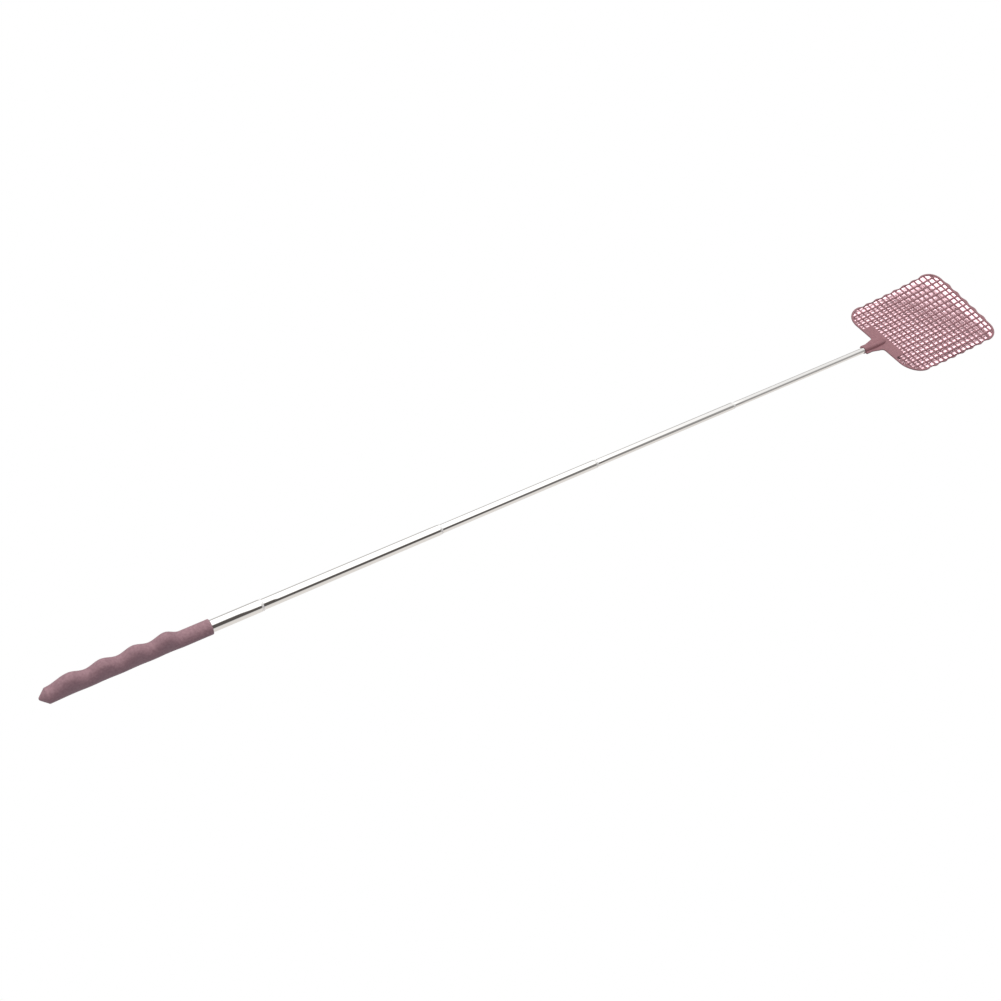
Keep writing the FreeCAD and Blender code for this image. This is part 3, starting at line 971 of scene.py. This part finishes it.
def make_floor():
    """Wide floor, well below the swatter."""
    half = FLOOR_SIZE / 2
    middle = (cad_box[0].x + cad_box[1].x) / 2
    height = cad_box[0].z - FLOOR_DROP
    corners = [(middle + half * i, half * j, height) for i, j in ((-1, -1), (1, -1), (1, 1), (-1, 1))]
    _, nodes, surface = stage_plane("floor", corners)
    nodes.link(plain_paper(nodes), surface)


def plate_height(nodes, x, y):
    """Height of the resting head's middle over (x, y), in metres, as placed() has it."""
    past = nodes.math("MAXIMUM", nodes.math("SUBTRACT", x, (SOCKET_X + BEND_START) * MM), 0.0)
    rise = nodes.math("MULTIPLY", nodes.math("MULTIPLY", past, past), 1 / (2 * BEND_RADIUS * MM))
    u = nodes.math("SUBTRACT", x, CENTRE_X * MM)
    return nodes.math("MULTIPLY_ADD", nodes.math("MULTIPLY", u, y), TWIST / (TWIST_U * TWIST_V * MM), rise)


def sight_crossing(nodes):
    """x and y, in metres, where the line of sight to the shaded point crosses the resting head."""
    geometry = nodes.add("ShaderNodeNewGeometry")
    position, incoming = nodes.add("ShaderNodeSeparateXYZ"), nodes.add("ShaderNodeSeparateXYZ")
    nodes.link(geometry.outputs["Position"], position.inputs[0])
    nodes.link(geometry.outputs["Incoming"], incoming.inputs[0])
    slope_x = nodes.math("DIVIDE", incoming.outputs[0], incoming.outputs[2])
    slope_y = nodes.math("DIVIDE", incoming.outputs[1], incoming.outputs[2])
    x, y = position.outputs[0], position.outputs[1]
    for _ in range(SIGHT_STEPS):
        climb = nodes.math("SUBTRACT", plate_height(nodes, x, y), position.outputs[2])
        x = nodes.math("MULTIPLY_ADD", slope_x, climb, position.outputs[0])
        y = nodes.math("MULTIPLY_ADD", slope_y, climb, position.outputs[1])
    return x, y


def seen_through_mesh(nodes):
    """1 where the line of sight to the shaded point runs through the mesh, inside its rim, else 0."""
    x, y = sight_crossing(nodes)
    middle, half_length = (REAR_EDGE + FRONT_EDGE) / 2, (FRONT_EDGE - REAR_EDGE) / 2
    at_rear = nodes.math("LESS_THAN", x, CENTRE_X * MM)
    front_radius = (FRONT_CORNER - RIM_INSET) * MM
    radius = nodes.math("MULTIPLY_ADD", at_rear, (REAR_CORNER - FRONT_CORNER) * MM, front_radius)
    off_middle = nodes.math("ABSOLUTE", nodes.math("SUBTRACT", x, (CENTRE_X + middle) * MM))
    off_axis = nodes.math("ABSOLUTE", y)
    along = nodes.math("SUBTRACT", nodes.math("ADD", off_middle, radius), (half_length - RIM_INSET) * MM)
    across = nodes.math("SUBTRACT", nodes.math("ADD", off_axis, radius), (HALF_WIDTH - RIM_INSET) * MM)
    squares = [nodes.math("POWER", nodes.math("MAXIMUM", side, 0.0), 2.0) for side in (along, across)]
    reach = nodes.math("SQRT", nodes.math("ADD", *squares))
    return nodes.math("LESS_THAN", reach, radius)


def at_rest(nodes, piece):
    """1 while the piece sits where it was modelled, else 0."""
    local = nodes.add("ShaderNodeTexCoord", object=piece).outputs["Object"]
    gap = nodes.add("ShaderNodeVectorMath", operation="DISTANCE")
    nodes.link(local, gap.inputs[0])
    nodes.link(nodes.add("ShaderNodeNewGeometry").outputs["Position"], gap.inputs[1])
    return nodes.math("LESS_THAN", gap.outputs["Value"], REST_TOLERANCE * MM)


def make_sheet(head):
    """Sheet close under the resting head that carries the mesh's shadow, seen only through its holes."""
    (rear, front), (right, left) = SHEET_U, SHEET_V
    corners = []
    for u, v in ((rear, right), (front, right), (front, left), (rear, left)):
        height = SHEET_HEIGHT + SHEET_SLOPE * u + SHEET_LEAN * v
        corners.append(((CENTRE_X + u) * MM, v * MM, height * MM))
    sheet, nodes, surface = stage_plane("sheet", corners)
    # The pink shows only in shade: a painted tint of the mesh's shadow.
    lit = nodes.add("ShaderNodeBsdfDiffuse", inputs={"Color": (*SHEET_SHADE_PINK, 1)})
    clear = nodes.add("ShaderNodeBsdfTransparent")
    path = nodes.add("ShaderNodeLightPath")
    through = nodes.math("MULTIPLY", path.outputs["Is Camera Ray"], seen_through_mesh(nodes))
    mixed = nodes.add("ShaderNodeMixShader")
    nodes.link(nodes.math("MULTIPLY", through, at_rest(nodes, head)), mixed.inputs[0])
    nodes.link(clear.outputs[0], mixed.inputs[1])
    nodes.link(lit.outputs[0], mixed.inputs[2])
    nodes.link(mixed.outputs[0], surface)
    return sheet


def light_sheet(sheet):
    """Lamp that lights the sheet alone, so that the mesh throws its shadow there and nowhere else."""
    sun = bpy.data.lights.new("sheet_sun", "SUN")
    sun.energy = SHEET_SUN
    sun.angle = math.radians(SHEET_SUN_WIDTH)
    lamp = bpy.data.objects.new("sheet_sun", sun)
    lamp.rotation_euler = Vector(SHEET_SUN_FROM).to_track_quat("Z", "Y").to_euler()
    bpy.context.scene.collection.objects.link(lamp)
    receivers = bpy.data.collections.new("sheet_only")
    receivers.objects.link(sheet)
    lamp.light_linking.receiver_collection = receivers


def dark_band(nodes, x, y, z):
    """1 in a band low on the camera's side, wider near the grip and far out, fading towards the head."""
    angle = nodes.math("ARCTAN2", z, nodes.math("MULTIPLY", y, -1.0))
    rise = nodes.map_range(angle, math.radians(BAND_RISE[0]), math.radians(BAND_RISE[1]), 0, 1)
    near_grip = nodes.map_range(x, *NEAR_GRIP, math.radians(NEAR_GRIP_WIDENING), 0)
    far_out = nodes.map_range(x, *FAR_OUT, 0, math.radians(FAR_OUT_WIDENING))
    widened = nodes.math("SUBTRACT", angle, nodes.math("ADD", near_grip, far_out))
    fall = nodes.map_range(widened, math.radians(BAND_FALL[0]), math.radians(BAND_FALL[1]), 1, 0)
    fade = nodes.map_range(x, *BAND_FADE, 1.0, 0.62)
    end = nodes.map_range(x, *BAND_END, 1.0, 0.0)
    return nodes.math("MULTIPLY", nodes.math("MULTIPLY", rise, fall), nodes.math("MULTIPLY", fade, end))


def make_world():
    """White to the camera, brightest overhead and behind as light; reflections also see the dark band."""
    world = bpy.data.worlds.new("studio")
    bpy.context.scene.world = world
    world.use_nodes = True
    nodes = Nodes(world.node_tree)
    direction = nodes.add("ShaderNodeTexCoord").outputs["Generated"]
    split = nodes.add("ShaderNodeSeparateXYZ")
    nodes.link(direction, split.inputs[0])
    x, y, z = split.outputs
    lean = nodes.math("ADD", nodes.math("MULTIPLY", z, 0.8), nodes.math("MULTIPLY", y, 0.6))
    diffuse = nodes.grey(nodes.map_range(lean, *ROOM_LEAN, 0.30, 1.0))
    overhead = nodes.map_range(z, *OVERHEAD, 0.60, 1.5)
    dimming = nodes.map_range(x, *CEILING_DIMS, 1.0, 0.70)
    ceiling = nodes.grey(nodes.math("MULTIPLY", overhead, dimming))
    reflected = nodes.mix(dark_band(nodes, x, y, z), ceiling, BAND_COLOUR)
    path = nodes.add("ShaderNodeLightPath")
    lit = nodes.mix(path.outputs["Is Glossy Ray"], diffuse, reflected)
    colour = nodes.mix(path.outputs["Is Camera Ray"], lit, (1.0, 1.0, 1.0))
    background = nodes.add("ShaderNodeBackground")
    nodes.link(colour, background.inputs["Color"])
    output = nodes.add("ShaderNodeOutputWorld")
    nodes.link(background.outputs[0], output.inputs["Surface"])


def area_light(name, location, target, size, power):
    """Rectangular lamp that points at target and isn't seen in reflections."""
    light = bpy.data.lights.new(name, "AREA")
    light.shape = "RECTANGLE"
    light.size, light.size_y = size
    light.energy = power
    obj = bpy.data.objects.new(name, light)
    obj.location = location
    obj.rotation_euler = (Vector(target) - Vector(location)).to_track_quat("-Z", "Y").to_euler()
    obj.visible_glossy = False
    bpy.context.scene.collection.objects.link(obj)


def make_camera():
    """The viewing position, direction and roll, and a lens that frames the swatter as it was seen."""
    camera = bpy.data.cameras.new("camera")
    camera.sensor_width = SENSOR_WIDTH
    camera.lens = FOCAL_LENGTH
    camera.clip_start, camera.clip_end = 0.01, 50
    obj = bpy.data.objects.new("camera", camera)
    forward = Vector(CAMERA_FORWARD).normalized()
    right = forward.cross(Vector(CAMERA_UP)).normalized()
    up = right.cross(forward).normalized()
    rotation = Matrix((right, up, -forward)).transposed().to_4x4()
    obj.matrix_world = Matrix.Translation(CAMERA_AT) @ rotation
    bpy.context.scene.collection.objects.link(obj)
    bpy.context.scene.camera = obj


head = build_swatter()
make_floor()
light_sheet(make_sheet(head))
make_world()
area_light("key", KEY_AT, KEY_TARGET, KEY_SIZE, KEY_POWER)
make_camera()
bpy.context.scene.view_settings.view_transform = "Standard"
